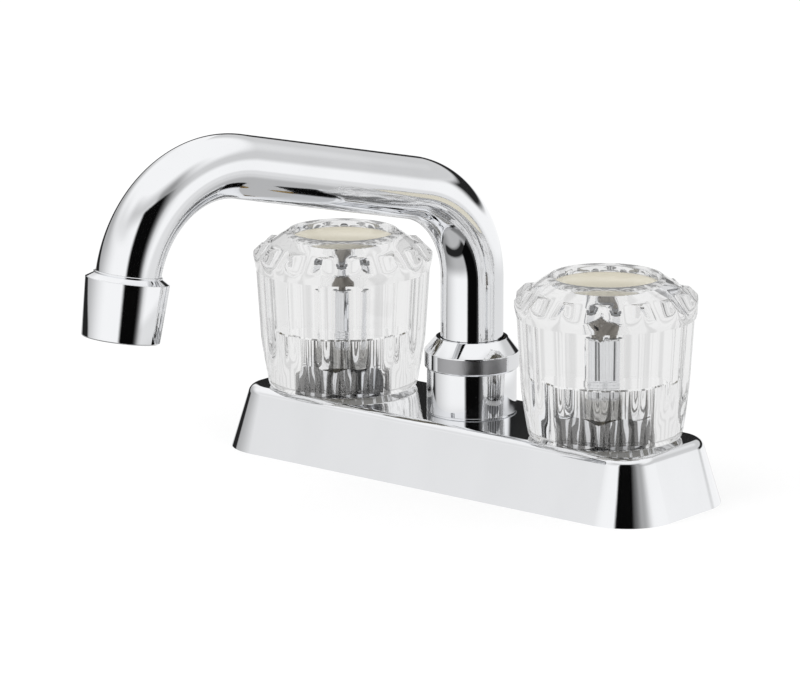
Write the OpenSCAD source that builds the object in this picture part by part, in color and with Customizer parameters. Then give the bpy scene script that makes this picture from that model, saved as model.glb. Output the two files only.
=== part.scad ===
// Two-handle utility sink faucet on 4 in centres, with a swing tube spout and clear fluted knobs.
// Millimetres. Origin on the deck, midway between the supply shanks. +Z is up and -Y is the front.

/* [Deck cover] */
// Distance between the two supply shanks, which is also the handle spacing
centers = 101.6; // [95:0.1:110]
// Length of the cover at the deck
cover_l = 165; // [155:0.5:190]
// Width of the cover at the deck
cover_w = 52.7; // [48:0.1:62]
// Height of the cover
cover_h = 19.4; // [17:0.1:24]
// Plan corner radius at the deck
cover_r = 16; // [13:0.5:20]
// Draft inset of the top outline on each side
cover_inset = 5.9; // [3:0.1:7]
// Radius along the top edge
cover_fillet = 3; // [1:0.1:4]
// Cover wall thickness
cover_wall = 2.2; // [1.6:0.1:3]
// Deck gasket thickness
gasket_t = 1.5; // [1:0.1:2.5]

/* [Waterway] */
// Outside radius of a valve barrel
barrel_r = 12.5; // [11.5:0.1:14]
// Radius of a barrel's threaded neck
neck_r = 10.5; // [10:0.1:11]
// Rise of the neck above the cover
neck_rise = 5.6; // [4:0.1:7]
// Bore that the cartridge sits in
valve_bore_r = 8.6; // [8:0.1:9.2]
// Height of the valve seat above the deck
seat_z = 4; // [3:0.1:5]
// Outside radius of the cross tube
cross_r = 6.2; // [5:0.1:6.4]
// Bore radius of the cross tube
cross_bore_r = 3.8; // [3:0.1:4.2]
// Radius of the centre boss under the spout
boss_r = 15; // [13.5:0.1:17]
// Radius of a supply shank where the mounting nut runs, a 1/2-14 lock-nut thread's crest
shank_r = 10.8; // [10.6:0.05:12]
// Radius of a shank's lower end, a 1/2-14 coupling thread's crest
coupling_r = 10.45; // [9:0.05:10.5]
// Length of the coupling thread
coupling_len = 25; // [18:1:30]
// Length of a shank below the deck
shank_len = 50; // [46:1:80]
// Bore of a shank
inlet_r = 6; // [5:0.1:7]

/* [Under the deck] */
// Deck thickness that the nuts stand at
deck_t = 10; // [4:1:25]
// Mounting washer radius
washer_r = 17; // [15:0.5:20]
// Mounting washer thickness
washer_t = 2; // [1:0.1:3]
// Mounting nut size across its flats
mount_nut_af = 30; // [27:0.5:36]
// Mounting nut height
mount_nut_h = 8; // [6:0.5:12]

/* [Cartridges] */
// Outside radius of the cartridge sleeve
sleeve_r = 7.5; // [7.2:0.1:7.8]
// Wall of the cartridge sleeve
sleeve_wall = 1.2; // [0.9:0.1:1.4]
// Seat seal height
seal_h = 4; // [3:0.1:5]
// Thickness of each ceramic disc
disc_t = 2.5; // [2:0.1:3]
// Radius of each water port in the discs
port_r = 1.7; // [1.2:0.1:2]
// Height of the stem's drive head
head_h = 4; // [3:0.1:4.5]
// Stem radius
stem_r = 4; // [3.5:0.1:4.2]
// Sleeve flange thickness
flange_t = 1.5; // [1.2:0.1:2]
// Radius of the sleeve's neck round the stem
sleeve_neck_r = 5.6; // [5.4:0.1:6]
// Rise of the sleeve's neck above the bonnet nut
sleeve_neck_rise = 4.5; // [3:0.1:6]
// Bonnet nut size across its flats
bonnet_af = 24; // [23.5:0.1:26]
// Bonnet nut height
bonnet_h = 8.5; // [8:0.1:10]
// Gap under a bonnet nut
bonnet_gap = 0.6; // [0.4:0.1:1]
// Height of the sleeve's sealing collar
collar_h = 4.6; // [4:0.1:5.4]
// Section radius of the sleeve's and the spout's O-rings
o_ring_r = 0.8; // [0.7:0.05:0.9]
// Width of their grooves
groove_w = 2; // [1.9:0.1:2.4]
// Section radius of the stem's O-ring
stem_ring_r = 0.68; // [0.5:0.02:0.8]
// Depth of the stem's O-ring below the sleeve's top
stem_ring_set = 3.4; // [2.4:0.1:4.4]
// Land between a port and the rim of its disc
port_land = 0.7; // [0.5:0.1:1]
// Width of the sleeve's outlet windows
window_w = 5.1; // [3.6:0.1:6]

/* [Knobs] */
// Height of a knob
knob_h = 48.1; // [45:0.1:54]
// Gap under a knob
knob_gap = 1; // [0.6:0.1:2]
// Radius at the knob's foot
knob_foot_r = 23; // [22:0.1:24]
// Radius where the lower taper ends
knob_waist_r = 25.4; // [24.5:0.1:26]
// Height of the lower taper
knob_waist_h = 14.2; // [10:0.1:18]
// Radius just under the crown
knob_skirt_r = 26.8; // [26.3:0.1:27.2]
// Largest radius of the crown
crown_r = 27.6; // [27.3:0.1:28.5]
// Height of the crown from its lower edge to its shoulder
crown_h = 8; // [7:0.1:10]
// Height above the crown's lower edge at which it is widest
crown_full_h = 3.5; // [2:0.1:4]
// Radius of the shoulder under the top boss
shoulder_r = 22.6; // [21:0.1:23.5]
// Height of the top boss above the shoulder
boss_rise = 4; // [3:0.1:4.6]
// Outside radius of the top rim
rim_r = 17; // [16.5:0.1:18]
// Wall of the top rim round the button
rim_wall = 1; // [0.7:0.1:1.5]
// Flutes round the skirt, each with a facet and a petal over it in the crown
flutes = 14; // [12:1:18]
// Radius of the tool that cuts a flute
flute_tool_r = 45; // [20:1:60]
// Depth of a flute
flute_depth = 0.85; // [0.6:0.05:1.2]
// Depth of the flat facets round the crown, one over each flute
facet_depth = 0.5; // [0.3:0.05:0.6]
// Plain land below the facets
crown_land = 1; // [0.6:0.1:2]
// Radius of the tool that cuts a petal out of the crown's corner
petal_tool_r = 12; // [9:0.5:16]
// Tilt of that tool from upright
petal_tilt = 45; // [35:1:55]
// Radius on the top boss that the petals reach
petal_top_r = 21.7; // [21:0.1:22.2]
// Turn of the cold knob on its stem, in steps of the twelve-sided drive, as photographed
cold_knob_turn = 60; // [0:30:330]
// Turn of the hot stem's twelve-sided drive, as photographed
hot_drive_turn = 15; // [0:5:25]
// Rise of the hollow above the sleeve's neck
hollow_rise = 5; // [2:0.1:6]
// Depth of the screw well below the knob's top
screw_well = 14.5; // [13:0.1:17]
// Radius of the screw well
well_r = 4.6; // [4.2:0.1:5.5]
// Web that the screw clamps
web_t = 2; // [1.5:0.1:3]
// Length of the splined hole on the stem
spline_h = 13; // [8:0.5:14]
// Thickness of the index button
button_t = 1.6; // [1.2:0.1:2]
// Set-down of the button below the rim
button_inset = 2.4; // [1:0.1:2.6]
// Length of the button's plug in the screw well
plug_h = 5; // [3:0.1:6]
// Handle screw shank radius
screw_r = 1.9; // [1.5:0.1:2.2]
// Handle screw head radius
screw_head_r = 3.4; // [3:0.1:3.8]
// Handle screw head height
screw_head_h = 3.2; // [2:0.1:3.6]
// Length of the handle screw in the stem
screw_grip = 9; // [7:0.5:11]
// Width of the screw's slot
slot_w = 0.8; // [0.6:0.1:1.2]
// Depth of the screw's slot
slot_depth = 1.1; // [0.8:0.1:1.4]
// Edge break of the button
button_edge = 0.6; // [0.3:0.1:0.8]

/* [Spout] */
// Turn of the spout from straight ahead toward the hot side, as photographed
spout_swing = 10; // [-60:1:60]
// Spout hub radius
hub_r = 13.65; // [13.3:0.05:15]
// Spout hub height above the cover
hub_h = 13.8; // [12:0.1:18]
// Radius of the hub's spigot in the waterway
spigot_r = 11; // [10.5:0.1:11.5]
// Radius of the hub's threaded neck
hub_neck_r = 12.5; // [12.2:0.1:12.8]
// Height of the hub's threaded neck
hub_neck_h = 4.8; // [4:0.1:6]
// Radius of the bore that the spout turns in
swivel_r = 10.18; // [9.8:0.01:10.4]
// Radius of the spout nut
nut_r = 14.4; // [14.2:0.05:16]
// Height of the nut's knurled band
nut_band_h = 5.2; // [4.8:0.1:6.5]
// Height of the nut's cone
nut_cone_h = 4.1; // [3:0.1:5]
// Radius at the top of the nut's cone
nut_top_r = 11.1; // [10.8:0.1:12]
// Outside radius of the spout tube, 3/4 in stock
tube_r = 9.525; // [9.2:0.005:9.7]
// Wall of the spout tube
tube_wall = 1.2; // [0.9:0.1:1.6]
// Height above the deck where the first bend starts
riser_top = 60.7; // [56:0.1:80]
// Centre-line radius of the first bend
bend_1_r = 31.9; // [28:0.1:40]
// Rise of the straight run above level
run_slope = 12.8; // [0:0.1:25]
// Length of the straight run
run_len = 67.4; // [40:0.1:110]
// Centre-line radius of the second bend
bend_2_r = 33.6; // [28:0.1:40]
// Turn of the second bend
bend_2_turn = 93.3; // [80:0.1:102]
// Length of the tube after the second bend
tail_len = 6; // [5:0.1:8]

// Length of the hub's spigot in the waterway, below the cover
hub_spigot = 7.4; // [6:0.1:8]
// Wall of that spigot
hub_spigot_wall = 4; // [3:0.1:5]
// Height of the hub's inner floor above the cover
hub_floor_rise = 1.1; // [0.6:0.1:2]
// Gap under the adapter, so that its flange carries the spout
adapter_gap = 0.5; // [0.3:0.1:1]
// Thickness of the adapter's flange
adapter_flange_t = 1.4; // [1:0.1:2]
// Set-in of that flange from the hub's neck
adapter_flange_set = 0.7; // [0.5:0.1:1]
// Wall of the adapter inside the tube
adapter_wall = 1.8; // [1.4:0.1:2.2]
// Length of the adapter's spigot in the tube
adapter_spigot = 10; // [7:0.5:14]
// Height of the lower O-ring above the adapter's end
ring_set_low = 4; // [3:0.1:5]
// Depth of the upper O-ring below the hub's neck
ring_set_top = 5; // [4:0.1:6]
// Thickness of the friction ring
friction_t = 0.8; // [0.6:0.1:1.2]
// Edge break under the spout nut
nut_edge = 0.4; // [0.2:0.1:0.6]

/* [Aerator] */
// Length of tube from the second bend to the aerator housing
tail_bare = 0.4; // [0.2:0.01:2]
// Height of the ferrule's cone above the housing
cone_h = 1.9; // [1.2:0.1:2.2]
// Radius of the cone's upper edge
cone_top_r = 10.1; // [9.9:0.05:10.4]
// Plain bead above the cone
cone_bead = 0.6; // [0.4:0.1:0.8]
// Radius of the ferrule's thread
ferrule_r = 10.6; // [10.4:0.05:10.8]
// Length of the ferrule's thread
ferrule_len = 10.1; // [8:0.1:10.4]
// Length of the aerator housing
aer_len = 17.3; // [15.5:0.1:19]
// Radius of the housing at its top
aer_top_r = 12.27; // [12:0.05:13]
// Radius of the housing at its mouth
aer_end_r = 11.43; // [11.2:0.05:12]
// Edge break at the mouth
aer_edge = 0.7; // [0.3:0.1:0.9]
// Rubber washer thickness
aer_washer_t = 1.5; // [1:0.1:2]
// Step that the insert's rim seats under
chamber_step = 0.8; // [0.6:0.1:1]
// Thickness of the lip that holds the insert in the mouth
aer_lip = 1.1; // [0.8:0.1:1.5]
// Reach of that lip
aer_lip_reach = 1.2; // [0.8:0.1:1.6]
// Wall of the insert
insert_wall = 1; // [0.8:0.1:1.4]
// Floor of the insert
insert_floor = 1.2; // [0.8:0.1:1.6]
// Radius of a hole in the insert
insert_hole_r = 0.8; // [0.6:0.1:1.1]
// Spacing of the holes in the insert
insert_pitch = 3.2; // [2.8:0.1:3.5]
// Screen thickness
screen_t = 0.4; // [0.3:0.1:0.6]
// Radius of a hole in the screen
screen_hole_r = 1.2; // [0.8:0.1:1.3]
// Spacing of the holes in the screen
screen_pitch = 3.4; // [3:0.1:3.6]

/* [Clearances] */
// Radial clearance of parts that turn in one another
run_clear = 0.07; // [0.03:0.01:0.09]
// Radial clearance of parts that are assembled and stay put
fit_clear = 0.1; // [0.05:0.01:0.15]
// Gap round moving parts that must not touch
free_gap = 0.35; // [0.3:0.05:0.6]

/* [Hidden] */
$fn = 72;
eps = 0.5;

chrome = [0.83, 0.84, 0.85];
brass = [0.78, 0.66, 0.40];
steel = [0.66, 0.66, 0.68];
rubber = [0.16, 0.16, 0.17];
ceramic = [0.93, 0.93, 0.91];
clear = [0.86, 0.92, 0.94];
cream = [0.90, 0.87, 0.79];
nylon = [0.92, 0.92, 0.88];

// Deck cover levels and profile
ceiling_z = cover_h - cover_wall;
draft = atan(cover_inset / cover_h);
corner_dx = cover_l - 2 * cover_r;
corner_dy = cover_w - 2 * cover_r;
fillet_u = cover_r - (cover_fillet + (cover_h - cover_fillet) * sin(draft)) / cos(draft);
inner_u = cover_r - cover_wall / cos(draft);
gasket_u = inner_u - gasket_t * tan(draft) - free_gap;

// Valve levels, from the seat up
neck_top = cover_h + neck_rise;
cross_z = gasket_t + cross_r + 0.3;
disc_z = seat_z + seal_h;
moving_z = disc_z + disc_t;
head_z = moving_z + disc_t;
head_top = head_z + head_h;
sleeve_bore_r = sleeve_r - sleeve_wall;
disc_r = sleeve_bore_r - run_clear;
collar_r = valve_bore_r - fit_clear;
flange_top = neck_top + flange_t;
bonnet_z = cover_h + bonnet_gap;
bonnet_top = max(bonnet_z + bonnet_h, flange_top + 1.5);
sleeve_top = bonnet_top + sleeve_neck_rise;
stem_bore_r = stem_r + run_clear;
stem_ring_z = sleeve_top - stem_ring_set;
stem_groove_w = 2 * stem_ring_r + 2 * fit_clear;
port_pitch = disc_r - port_r - port_land;

// Knob levels
knob_z = cover_h + knob_gap;
knob_top = knob_z + knob_h;
waist_z = knob_z + knob_waist_h;
shoulder_z = knob_top - boss_rise;
crown_z = shoulder_z - crown_h;
well_z = knob_top - screw_well;
stem_top = well_z - web_t;
drive_r = stem_r - fit_clear;
cavity_r = bonnet_af / 2 / cos(30) + 2 * free_gap;
cavity_top = sleeve_top + hollow_rise;
spline_z = max(stem_top - spline_h, cavity_top + knob_gap);
button_z = knob_top - button_inset - button_t;
button_r = rim_r - rim_wall - fit_clear;
flute_tilt = atan((knob_skirt_r - knob_waist_r) / (crown_z - waist_z));
flute_up = (crown_z - waist_z - flute_tool_r * sin(flute_tilt)) / cos(flute_tilt);
flute_down = knob_waist_h + 2 + flute_tool_r * sin(flute_tilt);
petal_z = shoulder_z + (shoulder_r - petal_top_r) * boss_rise / (shoulder_r - rim_r);
petal_axis_r = petal_top_r + petal_tool_r * cos(petal_tilt);
petal_axis_z = petal_z + petal_tool_r * sin(petal_tilt);

// Spout levels
hub_top = cover_h + hub_h;
hub_neck_top = hub_top + hub_neck_h;
hub_foot = cover_h - hub_spigot;
hub_floor = cover_h + hub_floor_rise;
adapter_z = hub_floor + adapter_gap;
adapter_r = swivel_r - run_clear;
collar_top = hub_neck_top + adapter_flange_t;
nut_shelf = collar_top + friction_t;
adapter_flange_r = hub_neck_r - adapter_flange_set;
tube_bore_r = tube_r - tube_wall;
spout_bore_r = tube_bore_r - adapter_wall;

// Spout path in the plane of the spout: x outward, z up
bend_1_turn = 90 - run_slope;
run_x0 = bend_1_r * (1 - cos(bend_1_turn));
run_z0 = riser_top + bend_1_r * sin(bend_1_turn);
run_x1 = run_x0 + run_len * cos(run_slope);
run_z1 = run_z0 + run_len * sin(run_slope);
bend_2_x = run_x1 + bend_2_r * sin(run_slope);
bend_2_z = run_z1 - bend_2_r * cos(run_slope);
outlet_angle = run_slope - bend_2_turn;
outlet_x = bend_2_x - bend_2_r * sin(outlet_angle);
outlet_z = bend_2_z + bend_2_r * cos(outlet_angle);

// Aerator levels, along the outlet axis from the end of the second bend
cone_s = tail_bare - cone_h;
ferrule_end = tail_bare + ferrule_len;
aer_seat = ferrule_end + aer_washer_t;
aer_end = tail_bare + aer_len;
lip_s = aer_end - aer_lip;
screen_s = lip_s - screen_t;
housing_bore_r = ferrule_r + fit_clear;
chamber_r = housing_bore_r - chamber_step;
insert_r = chamber_r - fit_clear;

// Helpers

// A plain ring that stands on z
module ring(outer, inner, z, h) {
    difference() {
        translate([0, 0, z]) cylinder(r = outer, h = h);
        translate([0, 0, z - eps]) cylinder(r = inner, h = h + 2 * eps);
    }
}

// A plain disc or pin that stands on z
module post(r, z, h) {
    translate([0, 0, z]) cylinder(r = r, h = h);
}

// An O-ring whose outside just meets the radius it seals
module o_ring(outer, section, z) {
    translate([0, 0, z]) rotate_extrude() translate([outer - section, 0]) circle(section);
}

// A hexagon with its corners turned off at both ends
module hex_nut(af, z, h) {
    corner = af / 2 / cos(30);
    turned = corner - af / 2;
    intersection() {
        translate([0, 0, z]) cylinder(r = corner, h = h, $fn = 6);
        translate([0, 0, z]) rotate_extrude() polygon([
            [0, 0], [af / 2, 0], [corner, turned * 0.6],
            [corner, h - turned * 0.6], [af / 2, h], [0, h]
        ]);
    }
}

// Sweeps a 2-D profile round a rounded rectangle, outward from its corner centres, and fills the middle
module swept_block(z, h) {
    for (sx = [0, 1], sy = [0, 1]) mirror([sx, 0, 0]) mirror([0, sy, 0]) {
        translate([corner_dx / 2, corner_dy / 2, 0]) rotate_extrude(angle = 90) children();
    }
    for (sx = [0, 1]) mirror([sx, 0, 0]) translate([corner_dx / 2, corner_dy / 2, 0]) {
        rotate([90, 0, 0]) linear_extrude(corner_dy) children();
    }
    for (sy = [0, 1]) mirror([0, sy, 0]) translate([-corner_dx / 2, corner_dy / 2, 0]) {
        rotate([90, 0, 90]) linear_extrude(corner_dx) children();
    }
    translate([-corner_dx / 2, -corner_dy / 2, z]) cube([corner_dx, corner_dy, h]);
}

module at_valve(side) {
    translate([side * centers / 2, 0, 0]) children();
}

module in_spout_plane() {
    rotate([0, 0, -90 - spout_swing]) children();
}

// Puts +Z along the outlet, from the end of the second bend
module at_outlet() {
    in_spout_plane() translate([outlet_x, 0, outlet_z]) rotate([0, 90 - outlet_angle, 0]) children();
}

// Deck cover and what is bolted to the deck

module cover_profile() {
    polygon([
        [0, 0], [cover_r, 0],
        [fillet_u + cover_fillet * cos(draft), cover_h - cover_fillet * (1 - sin(draft))],
        [fillet_u, cover_h - cover_fillet], [fillet_u, cover_h], [0, cover_h]
    ]);
    translate([fillet_u, cover_h - cover_fillet]) circle(cover_fillet);
}

module cover_hollow_profile() {
    polygon([
        [0, -eps], [inner_u + eps * tan(draft), -eps],
        [inner_u - ceiling_z * tan(draft), ceiling_z], [0, ceiling_z]
    ]);
}

module deck_cover() {
    color(chrome) difference() {
        swept_block(0, cover_h) cover_profile();
        swept_block(-eps, ceiling_z + eps) cover_hollow_profile();
        for (side = [-1, 1]) at_valve(side) post(neck_r + free_gap, ceiling_z - eps, cover_wall + 2 * eps);
        post(spigot_r + free_gap, ceiling_z - eps, cover_wall + 2 * eps);
    }
}

module base_gasket() {
    color(rubber) difference() {
        swept_block(0, gasket_t) square([gasket_u, gasket_t]);
        for (side = [-1, 1]) at_valve(side) post(shank_r + free_gap, -eps, gasket_t + 2 * eps);
    }
}

module waterway_body() {
    color(brass) difference() {
        union() {
            for (side = [-1, 1]) at_valve(side) {
                post(barrel_r, gasket_t, ceiling_z - gasket_t);
                post(neck_r, ceiling_z, neck_top - ceiling_z);
            }
            post(boss_r, gasket_t, ceiling_z - gasket_t);
            translate([-centers / 2, 0, cross_z]) rotate([0, 90, 0]) cylinder(r = cross_r, h = centers);
        }
        for (side = [-1, 1]) at_valve(side) {
            post(shank_r + fit_clear, gasket_t - eps, seat_z - gasket_t + eps);
            post(valve_bore_r, seat_z - eps, neck_top - seat_z + 2 * eps);
        }
        translate([-centers / 2, 0, cross_z]) rotate([0, 90, 0]) cylinder(r = cross_bore_r, h = centers);
        post(spigot_r - hub_spigot_wall, seat_z, hub_foot - seat_z + eps);
        post(spigot_r + fit_clear, hub_foot, ceiling_z - hub_foot + eps);
    }
}

// A threaded supply shank, brazed into the body's foot, whose top is the valve seat
module shank(side) {
    color(brass) at_valve(side) difference() {
        union() {
            post(coupling_r, -shank_len, coupling_len);
            post(shank_r, coupling_len - shank_len, shank_len - coupling_len + seat_z);
        }
        post(inlet_r, -shank_len - eps, shank_len + seat_z + 2 * eps);
    }
}

module mounting_washers() {
    color(steel) for (side = [-1, 1]) at_valve(side) {
        ring(washer_r, shank_r + free_gap, -deck_t - washer_t, washer_t);
    }
}

module mounting_nuts() {
    nut_z = -deck_t - washer_t - mount_nut_h;
    color(brass) for (side = [-1, 1]) at_valve(side) difference() {
        hex_nut(mount_nut_af, nut_z, mount_nut_h);
        post(shank_r + fit_clear, nut_z - eps, mount_nut_h + 2 * eps);
    }
}

// Quarter-turn cartridges

module seat_seal(side) {
    color(rubber) at_valve(side) ring(sleeve_r, inlet_r, seat_z, seal_h);
}

module ceramic_disc(side, z, turn) {
    color(ceramic) at_valve(side) difference() {
        post(disc_r, z, disc_t);
        for (i = [0, 1]) rotate([0, 0, turn + 180 * i]) translate([port_pitch, 0, 0]) {
            post(port_r, z - eps, disc_t + 2 * eps);
        }
    }
}

module sleeve(side) {
    color(steel) at_valve(side) difference() {
        union() {
            post(sleeve_r, disc_z, neck_top - disc_z);
            post(collar_r, neck_top - collar_h, collar_h);
            post(neck_r - free_gap, neck_top, flange_t);
            post(sleeve_neck_r, flange_top, sleeve_top - flange_top);
        }
        post(sleeve_bore_r, disc_z - eps, head_top - disc_z + eps + run_clear);
        post(stem_bore_r, head_top - eps, sleeve_top - head_top + 2 * eps);
        // Outlet windows over the discs
        translate([-window_w / 2, -sleeve_r - eps, head_z]) {
            cube([window_w, 2 * sleeve_r + 2 * eps, head_h - free_gap]);
        }
        ring(collar_r + eps, collar_r - 2 * o_ring_r, neck_top - collar_h / 2 - groove_w / 2, groove_w);
    }
}

module sleeve_o_ring(side) {
    color(rubber) at_valve(side) o_ring(valve_bore_r - 0.02, o_ring_r, neck_top - collar_h / 2);
}

module bonnet_nut(side) {
    color(chrome) at_valve(side) difference() {
        hex_nut(bonnet_af, bonnet_z, bonnet_top - bonnet_z);
        post(neck_r + fit_clear, bonnet_z - eps, flange_top - bonnet_z + eps);
        post(sleeve_neck_r + fit_clear, flange_top - eps, bonnet_top - flange_top + 2 * eps);
    }
}

// The twelve-sided drive between a stem and its knob
module splined_post(side, r, z, h) {
    turn = side < 0 ? hot_drive_turn : 0;
    rotate([0, 0, turn]) translate([0, 0, z]) cylinder(r = r, h = h, $fn = 12);
}

module stem(side) {
    color(chrome) at_valve(side) difference() {
        union() {
            post(disc_r, head_z, head_h);
            post(stem_r, head_top, spline_z - head_top);
            splined_post(side, drive_r, spline_z - eps, stem_top - spline_z + eps);
        }
        // Water passages across the drive head
        for (i = [0, 1]) rotate([0, 0, 90 + 180 * i]) translate([stem_r, -port_r, head_z - eps]) {
            cube([disc_r, 2 * port_r, head_h + eps]);
        }
        ring(stem_r + eps, stem_r - 2 * stem_ring_r, stem_ring_z - stem_groove_w / 2, stem_groove_w);
        post(screw_r + fit_clear, stem_top - screw_grip - free_gap, screw_grip + free_gap + eps);
    }
}

module stem_o_ring(side) {
    color(rubber) at_valve(side) o_ring(stem_r, stem_ring_r, stem_ring_z);
}

// Clear knobs

module knob_profile() {
    polygon([
        [0, knob_z], [knob_foot_r, knob_z], [knob_waist_r, waist_z], [knob_skirt_r, crown_z],
        [crown_r, crown_z + crown_full_h], [crown_r, shoulder_z],
        [shoulder_r, shoulder_z], [rim_r, knob_top], [0, knob_top]
    ]);
}

// The flutes run out in the lower taper. Flat facets and tilted petals shape the crown above them.
module knob_flutes() {
    for (i = [0 : flutes - 1]) rotate([0, 0, i * 360 / flutes]) {
        translate([knob_waist_r + flute_tool_r - flute_depth, 0, waist_z]) rotate([0, flute_tilt, 0]) {
            post(flute_tool_r, -flute_down, flute_down + flute_up);
        }
        translate([crown_r - facet_depth, -crown_r, crown_z + crown_land]) {
            cube([crown_r, 2 * crown_r, crown_h + boss_rise]);
        }
        translate([petal_axis_r, 0, petal_axis_z]) rotate([0, -petal_tilt, 0]) {
            post(petal_tool_r, -2 * crown_h, 2 * crown_h + 2 * boss_rise);
        }
    }
}

module knob(side) {
    color(clear) at_valve(side) difference() {
        rotate_extrude() knob_profile();
        rotate([0, 0, side > 0 ? cold_knob_turn : 0]) knob_flutes();
        // Hollow for the bonnet nut and the sleeve's neck
        post(cavity_r, knob_z - eps, cavity_top - knob_z + eps);
        post(stem_r + free_gap, cavity_top - eps, spline_z - cavity_top + eps);
        splined_post(side, drive_r + fit_clear, spline_z - eps, stem_top - spline_z + eps);
        // Screw hole, screw well and button seat
        post(screw_r + fit_clear, stem_top - eps, web_t + 2 * eps);
        post(well_r, well_z, knob_top - well_z + eps);
        post(button_r + fit_clear, button_z, knob_top - button_z + eps);
    }
}

module button(side) {
    color(cream) at_valve(side) {
        translate([0, 0, button_z]) rotate_extrude() polygon([
            [0, -plug_h], [well_r - fit_clear, -plug_h], [well_r - fit_clear, 0], [button_r, 0],
            [button_r, button_t - button_edge], [button_r - button_edge, button_t], [0, button_t]
        ]);
    }
}

module screw(side) {
    color(steel) at_valve(side) difference() {
        union() {
            post(screw_r, stem_top - screw_grip, screw_grip + web_t);
            post(screw_head_r, well_z, screw_head_h);
        }
        translate([-slot_w / 2, -screw_head_r - eps, well_z + screw_head_h - slot_depth]) {
            cube([slot_w, 2 * screw_head_r + 2 * eps, slot_depth + eps]);
        }
    }
}

// Spout

module spout_hub() {
    color(chrome) difference() {
        union() {
            post(spigot_r, hub_foot, cover_h - hub_foot);
            post(hub_r, cover_h, hub_h);
            post(hub_neck_r, hub_top, hub_neck_h);
        }
        post(spigot_r - hub_spigot_wall, hub_foot - eps, hub_floor - hub_foot + 2 * eps);
        post(swivel_r, hub_floor, hub_neck_top - hub_floor + eps);
    }
}

module spout_nut() {
    color(chrome) difference() {
        translate([0, 0, hub_top]) rotate_extrude() polygon([
            [0, 0], [nut_r - nut_edge, 0], [nut_r, nut_edge], [nut_r, nut_band_h],
            [nut_top_r, nut_band_h + nut_cone_h], [0, nut_band_h + nut_cone_h]
        ]);
        post(hub_neck_r + fit_clear, hub_top - eps, nut_shelf - hub_top + eps);
        post(tube_r + free_gap, nut_shelf - eps, nut_band_h + nut_cone_h);
    }
}

module friction_ring() {
    color(nylon) ring(adapter_flange_r, tube_r + free_gap, collar_top, friction_t);
}

module spout_adapter() {
    color(brass) difference() {
        union() {
            post(adapter_r, adapter_z, hub_neck_top - adapter_z);
            post(adapter_flange_r, hub_neck_top, collar_top - hub_neck_top);
            post(tube_bore_r - fit_clear / 2, collar_top, adapter_spigot);
        }
        post(spout_bore_r, adapter_z - eps, collar_top + adapter_spigot - adapter_z + 2 * eps);
        for (z = o_ring_levels()) {
            ring(adapter_r + eps, adapter_r - 2 * o_ring_r, z - groove_w / 2, groove_w);
        }
    }
}

function o_ring_levels() = [adapter_z + ring_set_low, hub_neck_top - ring_set_top];

module spout_o_rings() {
    color(rubber) for (z = o_ring_levels()) o_ring(adapter_r + run_clear / 2, o_ring_r, z);
}

module tube_section() {
    difference() {
        circle(tube_r);
        circle(tube_bore_r);
    }
}

module tube_bend(x, z, radius, start, turn) {
    translate([x, 0, z]) rotate([90, 0, 0]) rotate([0, 0, start]) {
        rotate_extrude(angle = turn) translate([radius, 0]) tube_section();
    }
}

module spout_tube() {
    color(chrome) in_spout_plane() {
        translate([0, 0, collar_top]) linear_extrude(riser_top - collar_top) tube_section();
        tube_bend(bend_1_r, riser_top, bend_1_r, 180 - bend_1_turn, bend_1_turn);
        translate([run_x0, 0, run_z0]) rotate([0, 90 - run_slope, 0]) linear_extrude(run_len) tube_section();
        tube_bend(bend_2_x, bend_2_z, bend_2_r, 90 + outlet_angle, bend_2_turn);
        translate([outlet_x, 0, outlet_z]) rotate([0, 90 - outlet_angle, 0]) {
            linear_extrude(tail_len) tube_section();
        }
    }
}

module outlet_ferrule() {
    color(chrome) at_outlet() difference() {
        rotate_extrude() polygon([
            [0, cone_s], [cone_top_r, cone_s], [cone_top_r, cone_s + cone_bead], [aer_top_r, tail_bare],
            [ferrule_r, tail_bare], [ferrule_r, ferrule_end], [0, ferrule_end]
        ]);
        post(tube_r + fit_clear, cone_s - eps, tail_len - cone_s + eps);
        post(tube_bore_r, tail_len - eps, ferrule_end - tail_len + 2 * eps);
    }
}

module aerator_housing() {
    color(chrome) at_outlet() difference() {
        rotate_extrude() polygon([
            [0, tail_bare], [aer_top_r, tail_bare],
            [aer_end_r, aer_end - aer_edge], [aer_end_r - aer_edge, aer_end], [0, aer_end]
        ]);
        post(housing_bore_r, tail_bare - eps, aer_seat - tail_bare + eps);
        post(chamber_r, aer_seat - eps, lip_s - aer_seat + eps);
        post(chamber_r - aer_lip_reach, lip_s - eps, aer_lip + 2 * eps);
    }
}

module aerator_washer() {
    color(rubber) at_outlet() ring(ferrule_r, tube_bore_r - free_gap, ferrule_end, aer_washer_t);
}

// A ring of round holes about a centre hole
module jets(hole_r, pitch, z, h) {
    post(hole_r, z, h);
    for (i = [0 : 5]) rotate([0, 0, 60 * i]) translate([pitch, 0, 0]) post(hole_r, z, h);
    for (i = [0 : 11]) rotate([0, 0, 30 * i + 15]) translate([2 * pitch, 0, 0]) post(hole_r, z, h);
}

module aerator_insert() {
    color(nylon) at_outlet() difference() {
        post(insert_r, aer_seat, screen_s - aer_seat);
        post(insert_r - insert_wall, aer_seat + insert_floor, screen_s - aer_seat);
        jets(insert_hole_r, insert_pitch, aer_seat - eps, insert_floor + 2 * eps);
    }
}

module aerator_screen() {
    color(steel) at_outlet() difference() {
        post(insert_r, screen_s, screen_t);
        jets(screen_hole_r, screen_pitch, screen_s - eps, screen_t + 2 * eps);
    }
}

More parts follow.
